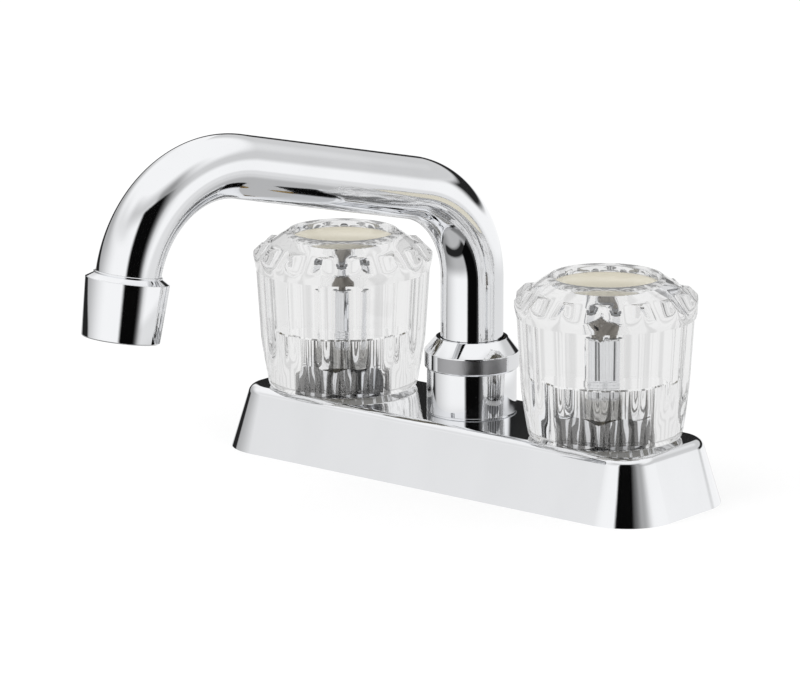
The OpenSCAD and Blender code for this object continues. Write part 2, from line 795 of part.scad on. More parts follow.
deck_cover();
base_gasket();
waterway_body();
spout_hub();
spout_nut();
friction_ring();
shank(-1);  // hot_shank
shank(1);  // cold_shank
mounting_washers();
mounting_nuts();
sleeve(-1);  // hot_sleeve
sleeve_o_ring(-1);  // hot_sleeve_o_ring
ceramic_disc(-1, disc_z, 0);  // hot_fixed_disc
seat_seal(-1);  // hot_seat_seal
bonnet_nut(-1);  // hot_bonnet_nut
sleeve(1);  // cold_sleeve
sleeve_o_ring(1);  // cold_sleeve_o_ring
ceramic_disc(1, disc_z, 0);  // cold_fixed_disc
seat_seal(1);  // cold_seat_seal
bonnet_nut(1);  // cold_bonnet_nut
spout_tube();
spout_adapter();
spout_o_rings();
outlet_ferrule();
aerator_housing();
aerator_washer();
aerator_insert();
aerator_screen();
knob(-1);  // hot_knob
button(-1);  // hot_button
screw(-1);  // hot_screw
stem(-1);  // hot_stem
ceramic_disc(-1, moving_z, 90);  // hot_moving_disc
stem_o_ring(-1);  // hot_stem_o_ring
knob(1);  // cold_knob
button(1);  // cold_button
screw(1);  // cold_screw
stem(1);  // cold_stem
ceramic_disc(1, moving_z, 90);  // cold_moving_disc
stem_o_ring(1);  // cold_stem_o_ring
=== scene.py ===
"""Looks of a two-handle utility sink faucet with clear fluted knobs and a swinging tube spout."""

import math

import bmesh
import bpy
from bpy.props import FloatProperty, FloatVectorProperty, IntProperty, PointerProperty
from mathutils import Matrix, Vector


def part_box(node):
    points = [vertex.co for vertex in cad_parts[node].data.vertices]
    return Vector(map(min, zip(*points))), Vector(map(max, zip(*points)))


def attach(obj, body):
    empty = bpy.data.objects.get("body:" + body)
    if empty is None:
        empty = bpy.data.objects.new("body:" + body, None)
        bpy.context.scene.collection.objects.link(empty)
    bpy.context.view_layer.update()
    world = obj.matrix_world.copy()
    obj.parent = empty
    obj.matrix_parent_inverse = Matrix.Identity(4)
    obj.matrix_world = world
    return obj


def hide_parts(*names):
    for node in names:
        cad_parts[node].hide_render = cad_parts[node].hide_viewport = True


bl_info = {
    "name": "Utility sink faucet",
    "version": (1, 0, 0),
    "blender": (4, 5, 0),
    "location": "View3D > Sidebar > Faucet",
    "description": "Builds the chrome, clear acrylic and inner pieces of a two-handle utility faucet",
    "category": "Object",
}

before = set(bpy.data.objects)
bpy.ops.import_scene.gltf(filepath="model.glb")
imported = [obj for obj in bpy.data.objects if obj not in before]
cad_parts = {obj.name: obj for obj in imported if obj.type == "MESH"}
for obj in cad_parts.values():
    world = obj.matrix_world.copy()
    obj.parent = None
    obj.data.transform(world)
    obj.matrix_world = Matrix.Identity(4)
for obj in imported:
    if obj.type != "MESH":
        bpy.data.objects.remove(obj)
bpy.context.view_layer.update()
MM = 0.001
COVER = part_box("deck_cover")
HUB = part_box("spout_hub")
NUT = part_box("spout_nut")
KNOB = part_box("hot_knob")
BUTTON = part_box("hot_button")
# Side of the spout that each valve is on
VALVES = {"hot": -1, "cold": 1}
BLACK = (0, 0, 0, 1)
WHITE = (1, 1, 1, 1)


# Property groups

def length(name, text, default):
    """A length that the user can change, in metres."""
    return FloatProperty(name=name, description=text, default=default, min=0.0, unit="LENGTH", precision=5)


def angle(name, text, degrees):
    """An angle that the user can change, given in degrees."""
    return FloatProperty(name=name, description=text, default=math.radians(degrees), unit="ROTATION")


def linear(screen):
    """A screen value from 0 to 255 as linear light."""
    value = screen / 255
    return value / 12.92 if value < 0.0404 else ((value + 0.055) / 1.055) ** 2.4


def colour(name, text, *screen):
    """A colour that the user can change, given as screen values from 0 to 255."""
    return FloatVectorProperty(
        name=name, description=text, default=[linear(c) for c in screen], min=0, max=1, size=3,
        subtype="COLOR")


class FaucetSizes(bpy.types.PropertyGroup):
    """Sizes of the visible pieces."""

    cover_length: length("Cover length", "Deck cover, left to right", COVER[1].x - COVER[0].x)
    cover_width: length("Cover width", "Deck cover, front to back", COVER[1].y - COVER[0].y)
    cover_height: length("Cover height", "Deck cover above the deck", COVER[1].z)
    cover_corner: length("Cover corner", "Corner radius at the deck", 0.016)
    cover_inset: length("Cover inset", "How far the sides lean in", 0.0059)
    cover_fillet: length("Cover fillet", "Rounding of the top edge", 0.003)
    cover_wall: length("Cover wall", "Wall of the cover", 0.0022)
    centres: length("Valve centres", "Distance between the handles", 0.1016)
    hub_radius: length("Hub radius", "Plain hub under the spout nut", 0.01365)
    nut_radius: length("Nut radius", "Grip band of the spout nut", 0.0144)
    nut_band: length("Nut band", "Height of the grip band", 0.0052)
    nut_top: length("Nut top radius", "Upper end of the nut's cone", 0.0111)
    tube_radius: length("Tube radius", "Outside radius of the spout tube", 0.009525)
    tube_wall: length("Tube wall", "Wall of the spout tube", 0.0012)
    tube_foot: length("Tube foot", "Height at which the tube starts", 0.0394)
    riser_top: length("Riser top", "Height at which the first bend starts", 0.0607)
    bend_1: length("First bend", "Centre-line radius of the first bend", 0.0319)
    run: length("Run", "Straight length between the bends", 0.0674)
    bend_2: length("Second bend", "Centre-line radius of the second bend", 0.0336)
    tail: length("Tail", "Straight length after the second bend", 0.006)
    knob_foot: length("Knob foot radius", "Lower end of the knob", 0.023)
    knob_waist: length("Knob waist radius", "Where the lower taper ends", 0.0254)
    knob_skirt: length("Knob skirt radius", "Just below the crown", 0.0268)
    knob_crown: length("Knob crown radius", "Largest radius of the knob", 0.0276)
    knob_shoulder: length("Knob shoulder radius", "Foot of the boss on top", 0.0226)
    knob_rim: length("Knob rim radius", "Rim round the button", 0.017)
    knob_hollow: length("Knob hollow radius", "Hollow round the bonnet nut", 0.01456)
    flute_tool: length("Flute tool", "Radius of the tool that makes a flute", 0.045)
    flute_depth: length("Flute depth", "Depth of a flute", 0.00085)
    facet_depth: length("Facet depth", "Depth of the flat facets round the crown", 0.0005)
    petal_tool: length("Petal tool", "Radius of the tool that cuts a petal in the crown's corner", 0.012)
    petal_top: length("Petal top", "Radius on the boss that the petals reach", 0.0217)
    flutes: IntProperty(name="Flutes", description="Flutes round a knob", default=14, min=8, max=24)
    thread_pitch: length("Thread pitch", "Pitch of the supply threads", 0.001814)
    spout_swing: angle("Spout swing", "Turn of the spout from straight ahead, towards the hot side", 10)
    cold_turn: angle("Cold knob turn", "Turn of the cold knob on its stem", 60)
    hot_drive: angle("Hot drive turn", "Turn of the hot stem's twelve-sided drive", 15)
    run_slope: angle("Run slope", "Rise of the straight run", 12.8)
    bend_2_turn: angle("Second turn", "Turn of the second bend", 93.3)


class FaucetColours(bpy.types.PropertyGroup):
    """Colours of the finishes and of the stage."""

    chrome: colour("Chrome", "Polished plating", 241, 242, 244)
    grip: colour("Grip panels", "Satin panels of the spout nut", 178, 178, 180)
    acrylic: colour("Acrylic", "Clear knobs", 252, 252, 252)
    button: colour("Button", "Cream index buttons", 222, 216, 197)
    brass: colour("Brass", "Machined brass", 214, 184, 122)
    steel: colour("Steel", "Plain steel", 140, 135, 128)
    bright_steel: colour("Bright steel", "Polished steel sleeves", 205, 204, 201)
    rubber: colour("Rubber", "Seals and gaskets", 38, 38, 40)
    ceramic: colour("Ceramic", "Valve discs", 236, 235, 230)
    nylon: colour("Nylon", "White mouldings", 232, 231, 224)
    floor: colour("Floor", "Pale floor", 250, 250, 250)


# Shader helpers

class Value:
    """A shader socket that takes part in Python sums."""

    def __init__(self, tree, socket):
        self.tree = tree
        self.socket = socket

    def maths(self, operation, *others):
        """The result of a Math node whose first value this is."""
        return self.tree.node("ShaderNodeMath", {"operation": operation}, dict(enumerate((self,) + others)))

    def __add__(self, other):
        return self.maths("ADD", other)

    __radd__ = __add__

    def __mul__(self, other):
        return self.maths("MULTIPLY", other)

    __rmul__ = __mul__

    def __sub__(self, other):
        return self.maths("SUBTRACT", other)

    def __rsub__(self, other):
        return self.tree.node("ShaderNodeMath", {"operation": "SUBTRACT"}, {0: other, 1: self})

    def __truediv__(self, other):
        return self.maths("DIVIDE", other)

    def __pow__(self, other):
        return self.maths("POWER", other)

    def ease(self, low, high):
        """0 below low, 1 above high and smooth between."""
        return self.tree.node(
            "ShaderNodeMapRange", {"interpolation_type": "SMOOTHSTEP"},
            {"Value": self, "From Min": low, "From Max": high})

    def band(self, low, high, soft):
        """1 between low and high, with soft edges."""
        return self.ease(low - soft, low + soft) * (1 - self.ease(high - soft, high + soft))


class Tree:
    """A node tree whose node() adds any node, with its settings set before its sockets."""

    def __init__(self, owner):
        owner.use_nodes = True
        self.nodes = owner.node_tree.nodes
        self.links = owner.node_tree.links
        self.nodes.clear()

    def node(self, kind, settings=None, sockets=None, out=0):
        made = self.nodes.new(kind)
        for key, setting in (settings or {}).items():
            setattr(made, key, setting)
        for key, value in (sockets or {}).items():
            if isinstance(value, Value):
                self.links.new(value.socket, made.inputs[key])
            else:
                made.inputs[key].default_value = value
        return Value(self, made.outputs[out]) if made.outputs else made

    def mix(self, factor, first, second):
        """A mix of two colours."""
        return self.node("ShaderNodeMix", {"data_type": "RGBA"}, {0: factor, 6: first, 7: second}, out=2)

    def place(self, scale=(1, 1, 1), turn=(0, 0, 0)):
        """Object coordinates, stretched and turned."""
        where = self.node("ShaderNodeTexCoord", out=3)
        return self.node("ShaderNodeMapping", None, {"Vector": where, "Scale": scale, "Rotation": turn})

    def axes(self, vector):
        """The x, y and z of a vector."""
        parts = self.node("ShaderNodeSeparateXYZ", None, {"Vector": vector})
        return [Value(self, socket) for socket in parts.socket.node.outputs]

    def rays(self, *names):
        """What a Light Path node says of a ray."""
        outputs = self.node("ShaderNodeLightPath").socket.node.outputs
        return [Value(self, outputs[name]) for name in names]

    def noise(self, scale, detail=3.0, stretch=(1, 1, 1)):
        """Soft random spots, about 0.5 on average."""
        return self.node("ShaderNodeTexNoise", None, {
            "Vector": self.place(stretch), "Scale": scale, "Detail": detail})

    def bump(self, height, strength, distance):
        """A normal that follows a height."""
        return self.node("ShaderNodeBump", None, {
            "Height": height, "Strength": strength, "Distance": distance})

    def both(self, factor, first, second):
        """Shows a mix of two shaders."""
        mixed = self.node("ShaderNodeMixShader", None, {0: factor, 1: first, 2: second})
        self.node("ShaderNodeOutputMaterial", None, {"Surface": mixed})

    def surface(self, sockets):
        """Shows one Principled shader."""
        shader = self.node("ShaderNodeBsdfPrincipled", None, sockets)
        self.node("ShaderNodeOutputMaterial", None, {"Surface": shader})


def rgba(tone, by=1.0):
    """A colour property as a socket value, made lighter or darker."""
    return tuple(min(1.0, c * by) for c in tone) + (1.0,)


def polished_chrome(tone):
    """Bright plating with a faint haze from wiping and fine pitting."""
    made = bpy.data.materials.new("polished_chrome")
    tree = Tree(made)
    haze = tree.noise(45, 4, (1, 1, 0.4)).ease(0.35, 0.75)
    grain = tree.noise(900, 2)
    tree.surface({
        "Base Color": tree.mix(haze, rgba(tone), rgba(tone, 0.965)),
        "Metallic": 1.0,
        "Roughness": 0.028 + haze * 0.035 + grain * 0.012,
        "Normal": tree.bump(grain, 0.015, 0.0002),
    })
    return made


def satin_grip(tone):
    """Satin plating of the grip panels on the spout nut."""
    made = bpy.data.materials.new("satin_grip")
    tree = Tree(made)
    rub = tree.noise(260, 4).ease(0.3, 0.7)
    tree.surface({
        "Base Color": tree.mix(rub, rgba(tone, 0.9), rgba(tone)),
        "Metallic": 1.0,
        "Roughness": 0.3 + rub * 0.08,
        "Normal": tree.bump(tree.noise(1500, 2), 0.08, 0.0002),
    })
    return made


def painted_hollow_reflections(tree, centres, flutes):
    """Painted reflections: grey streaks that run up the wall of a knob's hollow and end in points, two to a
    flute, in place of the reflections of the cartridges and cover.
    """
    foot, rise, soft, edge = 0.023, 0.014, 0.4, 0.0002
    hollow_r, hollow_top = 0.0152, 0.0383
    x, y, z = tree.axes(tree.place())
    x = x.maths("ABSOLUTE") - centres / 2
    reach = (x * x + y * y) ** 0.5
    turn = y.maths("ARCTAN2", x)
    comb = ((turn * 2 * flutes).maths("COSINE") * 0.5 + 0.5) ** 2
    tall = tree.noise(170, 1, (1, 1, 0.02)) * 3 - 0.3
    # Painted reflection: pointed dark streaks rising from the foot of the hollow
    reflection_streaks = (comb * tall - (z - foot) / rise).ease(0.0, soft)
    inside = (1 - reach.ease(hollow_r, hollow_r + edge)) * (1 - z.ease(hollow_top, hollow_top + edge))
    return reflection_streaks * inside


def clear_acrylic(tone, centres, flutes):
    """Moulded clear acrylic with faint flow lines and painted reflections streaked up its hollow, which lets
    lamp light through to the pieces inside.
    Light that is still caught in it after three mirrorings shows as an even grey instead of black."""
    made = bpy.data.materials.new("clear_acrylic")
    tree = Tree(made)
    # The first colour is the dark tone of the painted reflections in the hollow
    reflection_tone, mirrorings, glow, clear = (0.05, 0.048, 0.045, 1), 2.5, 0.24, 0.93
    flow = tree.noise(70, 3, (1, 1, 0.25))
    scuff = tree.noise(500, 4).ease(0.55, 0.8)
    body = tree.mix(flow, rgba(tone), rgba(tone, 0.985))
    # Painted reflections of the cartridges and cover, darkening the acrylic along the hollow's streaks
    body_with_reflections = tree.mix(painted_hollow_reflections(tree, centres, flutes), body, reflection_tone)
    from_lamp, mirrored = tree.rays("Is Shadow Ray", "Glossy Depth")
    caught = mirrored.maths("GREATER_THAN", mirrorings)
    glass = tree.node("ShaderNodeBsdfPrincipled", None, {
        "Base Color": tree.mix(caught, body_with_reflections, BLACK),
        "Roughness": 0.004 + scuff * 0.03,
        "IOR": 1.49,
        "Transmission Weight": 1.0,
        "Normal": tree.bump(flow, 0.05, 0.0004),
        "Emission Color": tree.mix(caught, BLACK, rgba(tone, glow)),
        "Emission Strength": 1.0,
    })
    passing = tree.node("ShaderNodeBsdfTransparent", None, {"Color": rgba(tone, clear)})
    tree.both(from_lamp, glass, passing)
    return made


def cream_plastic(tone):
    """Satin cream moulding with a fine grain."""
    made = bpy.data.materials.new("cream_plastic")
    tree = Tree(made)
    cloud = tree.noise(120, 4)
    grain = tree.noise(2200, 2)
    tree.surface({
        "Base Color": tree.mix(cloud, rgba(tone, 0.95), rgba(tone, 1.04)),
        "Roughness": 0.12 + grain * 0.08,
        "Normal": tree.bump(grain, 0.03, 0.0002),
    })
    return made


def turned_metal(name, tone, rough, metallic=1.0):
    """Machined metal with fine turning marks and some tarnish."""
    made = bpy.data.materials.new(name)
    tree = Tree(made)
    marks = tree.noise(500, 2, (0.15, 0.15, 3))
    tarnish = tree.noise(90, 5).ease(0.4, 0.75)
    tree.surface({
        "Base Color": tree.mix(tarnish, rgba(tone), rgba(tone, 0.72)),
        "Metallic": metallic,
        "Roughness": rough + marks * 0.12 + tarnish * 0.1,
        "Normal": tree.bump(marks, 0.12, 0.0003),
    })
    return made


def moulded(name, tone, rough):
    """A matt moulding, for rubber, nylon and fired ceramic."""
    made = bpy.data.materials.new(name)
    tree = Tree(made)
    cloud = tree.noise(150, 4)
    grain = tree.noise(1800, 2)
    tree.surface({
        "Base Color": tree.mix(cloud, rgba(tone, 0.9), rgba(tone, 1.06)),
        "Roughness": rough + cloud * 0.1,
        "Normal": tree.bump(grain, 0.1, 0.0003),
    })
    return made


FINISHES = {}


def finish(name):
    """The material of a finish, made the first time it is asked for."""
    tones, sizes = bpy.context.scene.faucet_colours, bpy.context.scene.faucet_sizes
    if name not in FINISHES:
        FINISHES[name] = {
            "chrome": lambda: polished_chrome(tones.chrome),
            "grip": lambda: satin_grip(tones.grip),
            "acrylic": lambda: clear_acrylic(tones.acrylic, sizes.centres, sizes.flutes),
            "button": lambda: cream_plastic(tones.button),
            "brass": lambda: turned_metal("machined_brass", tones.brass, 0.2),
            "steel": lambda: turned_metal("plain_steel", tones.steel, 0.25),
            "bright_steel": lambda: turned_metal("bright_steel", tones.bright_steel, 0.08),
            "rubber": lambda: moulded("black_rubber", tones.rubber, 0.6),
            "ceramic": lambda: moulded("fired_ceramic", tones.ceramic, 0.2),
            "nylon": lambda: moulded("white_nylon", tones.nylon, 0.4),
        }[name]()
    return FINISHES[name]


# Mesh helpers, in millimetres until a piece is made

def lathe(profile, steps, closed=False):
    """A turned shape: the profile of (radius, height) points spun about Z."""
    bm = bmesh.new()
    points = [bm.verts.new((r, 0, z)) for r, z in profile]
    lines = [bm.edges.new(pair) for pair in zip(points, points[1:])]
    if closed:
        lines.append(bm.edges.new((points[-1], points[0])))
    bmesh.ops.spin(bm, geom=points + lines, axis=(0, 0, 1), cent=(0, 0, 0), angle=2 * math.pi,
                   steps=steps, use_merge=True)
    bmesh.ops.remove_doubles(bm, verts=bm.verts, dist=1e-5)
    bmesh.ops.dissolve_degenerate(bm, edges=bm.edges, dist=1e-6)
    bmesh.ops.recalc_face_normals(bm, faces=bm.faces)
    return bm


def arc(cx, cz, radius, start, end, count):
    """Points of an arc in a profile, from one angle to another in degrees."""
    turns = [math.radians(start + (end - start) * i / count) for i in range(count + 1)]
    return [(cx + radius * math.cos(a), cz + radius * math.sin(a)) for a in turns]


def along(first, last, shares):
    """Points of a profile on the straight line between two of its points."""
    return [(first[0] + (last[0] - first[0]) * t, first[1] + (last[1] - first[1]) * t) for t in shares]


def soft_min(one, other, soft=0.15):
    """The smaller of two numbers, eased where they meet so that an edge is rounded."""
    gap = max(0.0, soft - abs(one - other)) / soft
    return min(one, other) - gap * gap * soft / 4


def piece(name, bm, slot, body, nodes=(), material=None, at=None, sharp=32):
    """Makes an object of a mesh drawn in millimetres, which rides a body and stands for some nodes."""
    if at:
        bmesh.ops.transform(bm, matrix=at, verts=bm.verts)
    bmesh.ops.scale(bm, vec=(MM, MM, MM), verts=bm.verts)
    for face in bm.faces:
        face.smooth = True
    for edge in bm.edges:
        edge.smooth = len(edge.link_faces) == 2 and edge.calc_face_angle(0) < math.radians(sharp)
    mesh = bpy.data.meshes.new(name)
    bm.to_mesh(mesh)
    bm.free()
    made = bpy.data.objects.new(name, mesh)
    bpy.context.scene.collection.objects.link(made)
    for each in material or (finish(slot),):
        mesh.materials.append(each)
    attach(made, body)
    if nodes:
        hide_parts(*nodes)
    return made


def dress(node, name):
    """Gives a CAD node that keeps its own shape a finish."""
    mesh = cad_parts[node].data
    mesh.materials.clear()
    mesh.materials.append(finish(name))


def only(geometry, kind):
    """The elements of one kind among what an operator gives."""
    return [element for element in geometry if isinstance(element, kind)]


def pull(bm, lines, way):
    """Extrudes edges straight and gives the new points and edges."""
    moved = bmesh.ops.extrude_edge_only(bm, edges=lines)["geom"]
    points = only(moved, bmesh.types.BMVert)
    bmesh.ops.translate(bm, vec=way, verts=points)
    return points + only(moved, bmesh.types.BMEdge)


def wall(made, thickness):
    """Gives a skin its wall, inwards."""
    modifier = made.modifiers.new("wall", "SOLIDIFY")
    modifier.thickness = thickness
    modifier.offset = -1
    modifier.use_even_offset = True


def even_normals(made):
    """Keeps flat faces flat beside their rounded edges."""
    modifier = made.modifiers.new("even_normals", "WEIGHTED_NORMAL")
    modifier.keep_sharp = True


def valve(side):
    """The place of the hot or cold valve, in millimetres."""
    centres = bpy.context.scene.faucet_sizes.centres / MM
    return Matrix.Translation((VALVES[side] * centres / 2, 0, 0))


def outlet(sizes):
    """The frame of the spout's outlet, with +Z along the outlet, in millimetres."""
    slope, turn = sizes.run_slope, sizes.bend_2_turn
    first, second = sizes.bend_1 / MM, sizes.bend_2 / MM
    away = slope - turn
    x = first * (1 - math.sin(slope)) + sizes.run / MM * math.cos(slope)
    z = sizes.riser_top / MM + first * math.cos(slope) + sizes.run / MM * math.sin(slope)
    x += second * (math.sin(slope) - math.sin(away))
    z += second * (math.cos(away) - math.cos(slope))
    swing = Matrix.Rotation(-math.pi / 2 - sizes.spout_swing, 4, "Z")
    return swing @ Matrix.Translation((x, 0, z)) @ Matrix.Rotation(math.pi / 2 - away, 4, "Y")


# Operators

class FAUCET_OT_stage(bpy.types.Operator):
    """Sets the camera, the soft light, the pale floor and the studio round the faucet"""

    bl_idname = "faucet.stage"
    bl_label = "Stage"

    azimuth = math.radians(39.29)
    elevation = math.radians(13.32)
    lens, sensor = 237.05, 36
    eye_right, eye_up, eye_back = -0.02175, 0.03977, 1.6046
    diffuse_light = 0.72

    def execute(self, context):
        scene = context.scene
        scene.view_settings.view_transform = "Standard"
        self.camera(scene)
        self.studio(scene)
        self.floor(scene)
        self.card(scene)
        self.lamp(scene, "key", (-0.35, -0.75, 0.95), 0.8, 5.0)
        self.lamp(scene, "fill", (0.85, -0.2, 0.8), 0.7, 3.0)
        return {"FINISHED"}

    def camera(self, scene):
        """A long lens at the photograph's viewing angle."""
        az, el = self.azimuth, self.elevation
        back = Vector((math.sin(az) * math.cos(el), -math.cos(az) * math.cos(el), math.sin(el)))
        right = Vector((math.cos(az), math.sin(az), 0))
        up = back.cross(right)
        eye = bpy.data.objects.new("camera", bpy.data.cameras.new("camera"))
        eye.data.lens = self.lens
        eye.data.sensor_width = self.sensor
        eye.data.clip_start = 0.05
        turn = Matrix((right, up, back)).transposed().to_4x4()
        spot = right * self.eye_right + up * self.eye_up + back * self.eye_back
        eye.matrix_world = Matrix.Translation(spot) @ turn
        scene.collection.objects.link(eye)
        scene.camera = eye

    def studio(self, scene):
        """White to the camera, a white room with grey shades to metal, and a plainer one to clear pieces."""
        scene.world = bpy.data.worlds.new("studio")
        tree = Tree(scene.world)
        x, y, z = tree.axes(tree.node("ShaderNodeTexCoord", out=0))
        across = x * math.cos(self.azimuth) + y * math.sin(self.azimuth)
        towards = x * math.sin(self.azimuth) - y * math.cos(self.azimuth)
        side = across.maths("ARCTAN2", towards) * (180 / math.pi)
        camera, glossy, through = tree.rays("Is Camera Ray", "Is Glossy Ray", "Is Transmission Ray")
        off_metal = glossy * self.mirrored(side, across, z) + (1 - glossy) * self.diffuse_light
        around = through * self.seen_through(side, z) + (1 - through) * off_metal
        sky = tree.node("ShaderNodeBackground", None, {
            "Color": WHITE, "Strength": camera + (1 - camera) * around})
        tree.node("ShaderNodeOutputWorld", None, {"Surface": sky})

    def mirrored(self, side, across, z):
        """The room's light by direction. Side is in degrees to the right of the camera, z is the height."""
        darkest, white = 0.02, 1.02
        behind = side.maths("ABSOLUTE")
        right = side.ease(34, 62)
        ceiling = z.ease(0.8, 0.95) * 0.1
        right_foot = right * z.band(-0.4, -0.17, 0.05) * 0.2
        right_wall = right * z.band(0.3, 0.62, 0.1) * 0.34
        front_top = (1 - behind.ease(45, 85)) * z.band(0.66, 0.84, 0.1) * 0.36
        left_wall = side.band(-110, -35, 20) * z.band(0.48, 0.68, 0.1) * 0.18
        front_right = side.ease(10, 25) * (1 - side.ease(38, 64)) * (1 - z.ease(0.6, 0.85)) * 0.6
        back_left = side.ease(-172, -150) * (1 - side.ease(-130, -50)) * (1 - z.ease(0.22, 0.6)) * 0.55
        raised = z + (across * -0.42).maths("MAXIMUM", 0.0)
        back_strip = behind.ease(100, 120) * raised.band(0.07, 0.31, 0.05)
        ground = 1 - (1 - z.ease(-0.55, -0.28)) * 0.5
        ground_strip = side.band(-100, 8, 8) * z.band(-0.84, -0.72, 0.04) * 0.6
        light = white + ceiling - right_foot - right_wall - front_top - left_wall
        light = (light - front_right - back_left - back_strip) * ground - ground_strip
        return light.maths("MAXIMUM", darkest).maths("MINIMUM", white)

    def seen_through(self, side, z):
        """The room's light to rays that leave clear pieces, with slats that draw the flutes."""
        slat_degrees = 14
        slats = (side * (2 * math.pi / slat_degrees)).maths("COSINE").ease(0.3, 1.0)
        front_shade = side.band(12, 24, 4) * z.band(-0.33, -0.07, 0.03) * 0.74
        return 0.88 + z.ease(0.1, 0.5) * 0.08 - slats * 0.14 - front_shade

    def board(self, scene, name, bm, material):
        """Makes a flat piece of the stage."""
        mesh = bpy.data.meshes.new(name)
        bm.to_mesh(mesh)
        bm.free()
        mesh.materials.append(material)
        made = bpy.data.objects.new(name, mesh)
        scene.collection.objects.link(made)
        return made

    def card(self, scene):
        """A black card that stands in front of the faucet and shows only in its polished pieces."""
        low, high, left, right, ahead = -0.4, 0.43, -0.16, 0.31, 0.41
        fade_left, fade_top, fade_right = 0.06, 0.04, 0.2
        turn = Matrix.Rotation(self.azimuth, 4, "Z")
        middle = Matrix.Translation(((left + right) / 2, -ahead, (low + high) / 2))
        upright = Matrix.Rotation(math.pi / 2, 4, "X") @ Matrix.Diagonal((right - left, high - low, 1, 1))
        bm = bmesh.new()
        bmesh.ops.create_grid(bm, x_segments=1, y_segments=1, size=0.5)
        bmesh.ops.transform(bm, matrix=turn @ middle @ upright, verts=bm.verts)
        made = bpy.data.materials.new("black_card")
        tree = Tree(made)
        x, _, z = tree.axes(tree.place(turn=(0, 0, -self.azimuth)))
        through = tree.rays("Is Transmission Ray")[0]
        sides = x.ease(left, left + fade_left) * (1 - x.ease(right - fade_right, right))
        solid = sides * (1 - z.ease(high - fade_top, high)) * (1 - through)
        matt = tree.node("ShaderNodeBsdfDiffuse", None, {"Color": (0.003, 0.003, 0.003, 1)})
        tree.both(solid, tree.node("ShaderNodeBsdfTransparent"), matt)
        card = self.board(scene, "black_card", bm, made)
        card.visible_camera = card.visible_diffuse = card.visible_shadow = False

    def floor(self, scene):
        """A pale floor that takes the faucet's shadow near it and is white further off."""
        near, far, glowing = 0.15, 0.6, 0.6
        bm = bmesh.new()
        bmesh.ops.create_grid(bm, x_segments=1, y_segments=1, size=6)
        made = bpy.data.materials.new("pale_floor")
        tree = Tree(made)
        tone = scene.faucet_colours.floor
        cloud = tree.noise(3, 3)
        matt = tree.node("ShaderNodeBsdfDiffuse", None, {
            "Color": tree.mix(cloud, rgba(tone), rgba(tone, 0.99))})
        glow = tree.node("ShaderNodeEmission", None, {"Color": WHITE, "Strength": 1.08})
        x, y, _ = tree.axes(tree.place())
        away = ((x * x + y * y) ** 0.5).ease(near, far)
        tree.both(glowing + away * (1 - glowing), matt, glow)
        ground = self.board(scene, "floor", bm, made)
        ground.visible_glossy = ground.visible_transmission = False

    def lamp(self, scene, name, spot, size, watts):
        """A soft square lamp aimed at the middle of the faucet, which doesn't show in it."""
        middle = Vector((0, -0.02, 0.04))
        lamp = bpy.data.objects.new(name, bpy.data.lights.new(name, "AREA"))
        lamp.data.energy = watts
        lamp.data.size = size
        aim = (middle - Vector(spot)).to_track_quat("-Z", "Y").to_matrix().to_4x4()
        lamp.matrix_world = Matrix.Translation(spot) @ aim
        lamp.visible_camera = lamp.visible_glossy = lamp.visible_transmission = False
        scene.collection.objects.link(lamp)


class FAUCET_OT_deck_cover(bpy.types.Operator):
    """Sweeps the chrome deck cover's wall round its four corners and closes its top round the valves"""

    bl_idname = "faucet.deck_cover"
    bl_label = "Deck cover"

    def execute(self, context):
        s = context.scene.faucet_sizes
        corner, height, fillet = s.cover_corner / MM, s.cover_height / MM, s.cover_fillet / MM
        foot, hub_hole, valve_hole = 1.5, 11.35, 10.85
        lean = math.atan2(s.cover_inset, s.cover_height)
        inner = corner - (fillet + (height - fillet) * math.sin(lean)) / math.cos(lean)
        profile = [(corner, 0), (corner - foot * math.tan(lean), foot)]
        profile += arc(inner, height - fillet, fillet, math.degrees(lean), 90, 10)
        dx, dy = s.cover_length / 2 / MM - corner, s.cover_width / 2 / MM - corner
        bm = bmesh.new()
        points = [bm.verts.new((dx + u, -dy, z)) for u, z in profile]
        edge = points + [bm.edges.new(pair) for pair in zip(points, points[1:])]
        for cx, cy, slide in ((dx, dy, (0, 2 * dy, 0)), (-dx, dy, (-2 * dx, 0, 0)),
                              (-dx, -dy, (0, -2 * dy, 0)), (dx, -dy, (2 * dx, 0, 0))):
            edge = pull(bm, only(edge, bmesh.types.BMEdge), slide)
            edge = bmesh.ops.spin(bm, geom=edge, axis=(0, 0, 1), cent=(cx, cy, 0), angle=math.pi / 2,
                                  steps=20)["geom_last"]
        bmesh.ops.remove_doubles(bm, verts=bm.verts, dist=0.01)
        rim = [e for e in bm.edges if e.is_boundary and e.verts[0].co.z > height - 0.01]
        valve_x = s.centres / 2 / MM
        for x, radius in ((0, hub_hole), (-valve_x, valve_hole), (valve_x, valve_hole)):
            hole = bmesh.ops.create_circle(bm, segments=48, radius=radius,
                                           matrix=Matrix.Translation((x, 0, height)))["verts"]
            rim += list({e for v in hole for e in v.link_edges})
        bmesh.ops.triangle_fill(bm, edges=rim, use_beauty=True, normal=(0, 0, 1))
        bmesh.ops.recalc_face_normals(bm, faces=bm.faces)
        cover = piece("chrome_deck_cover", bm, "chrome", "faucet_body", ["deck_cover"])
        wall(cover, s.cover_wall)
        even_normals(cover)
        return {"FINISHED"}


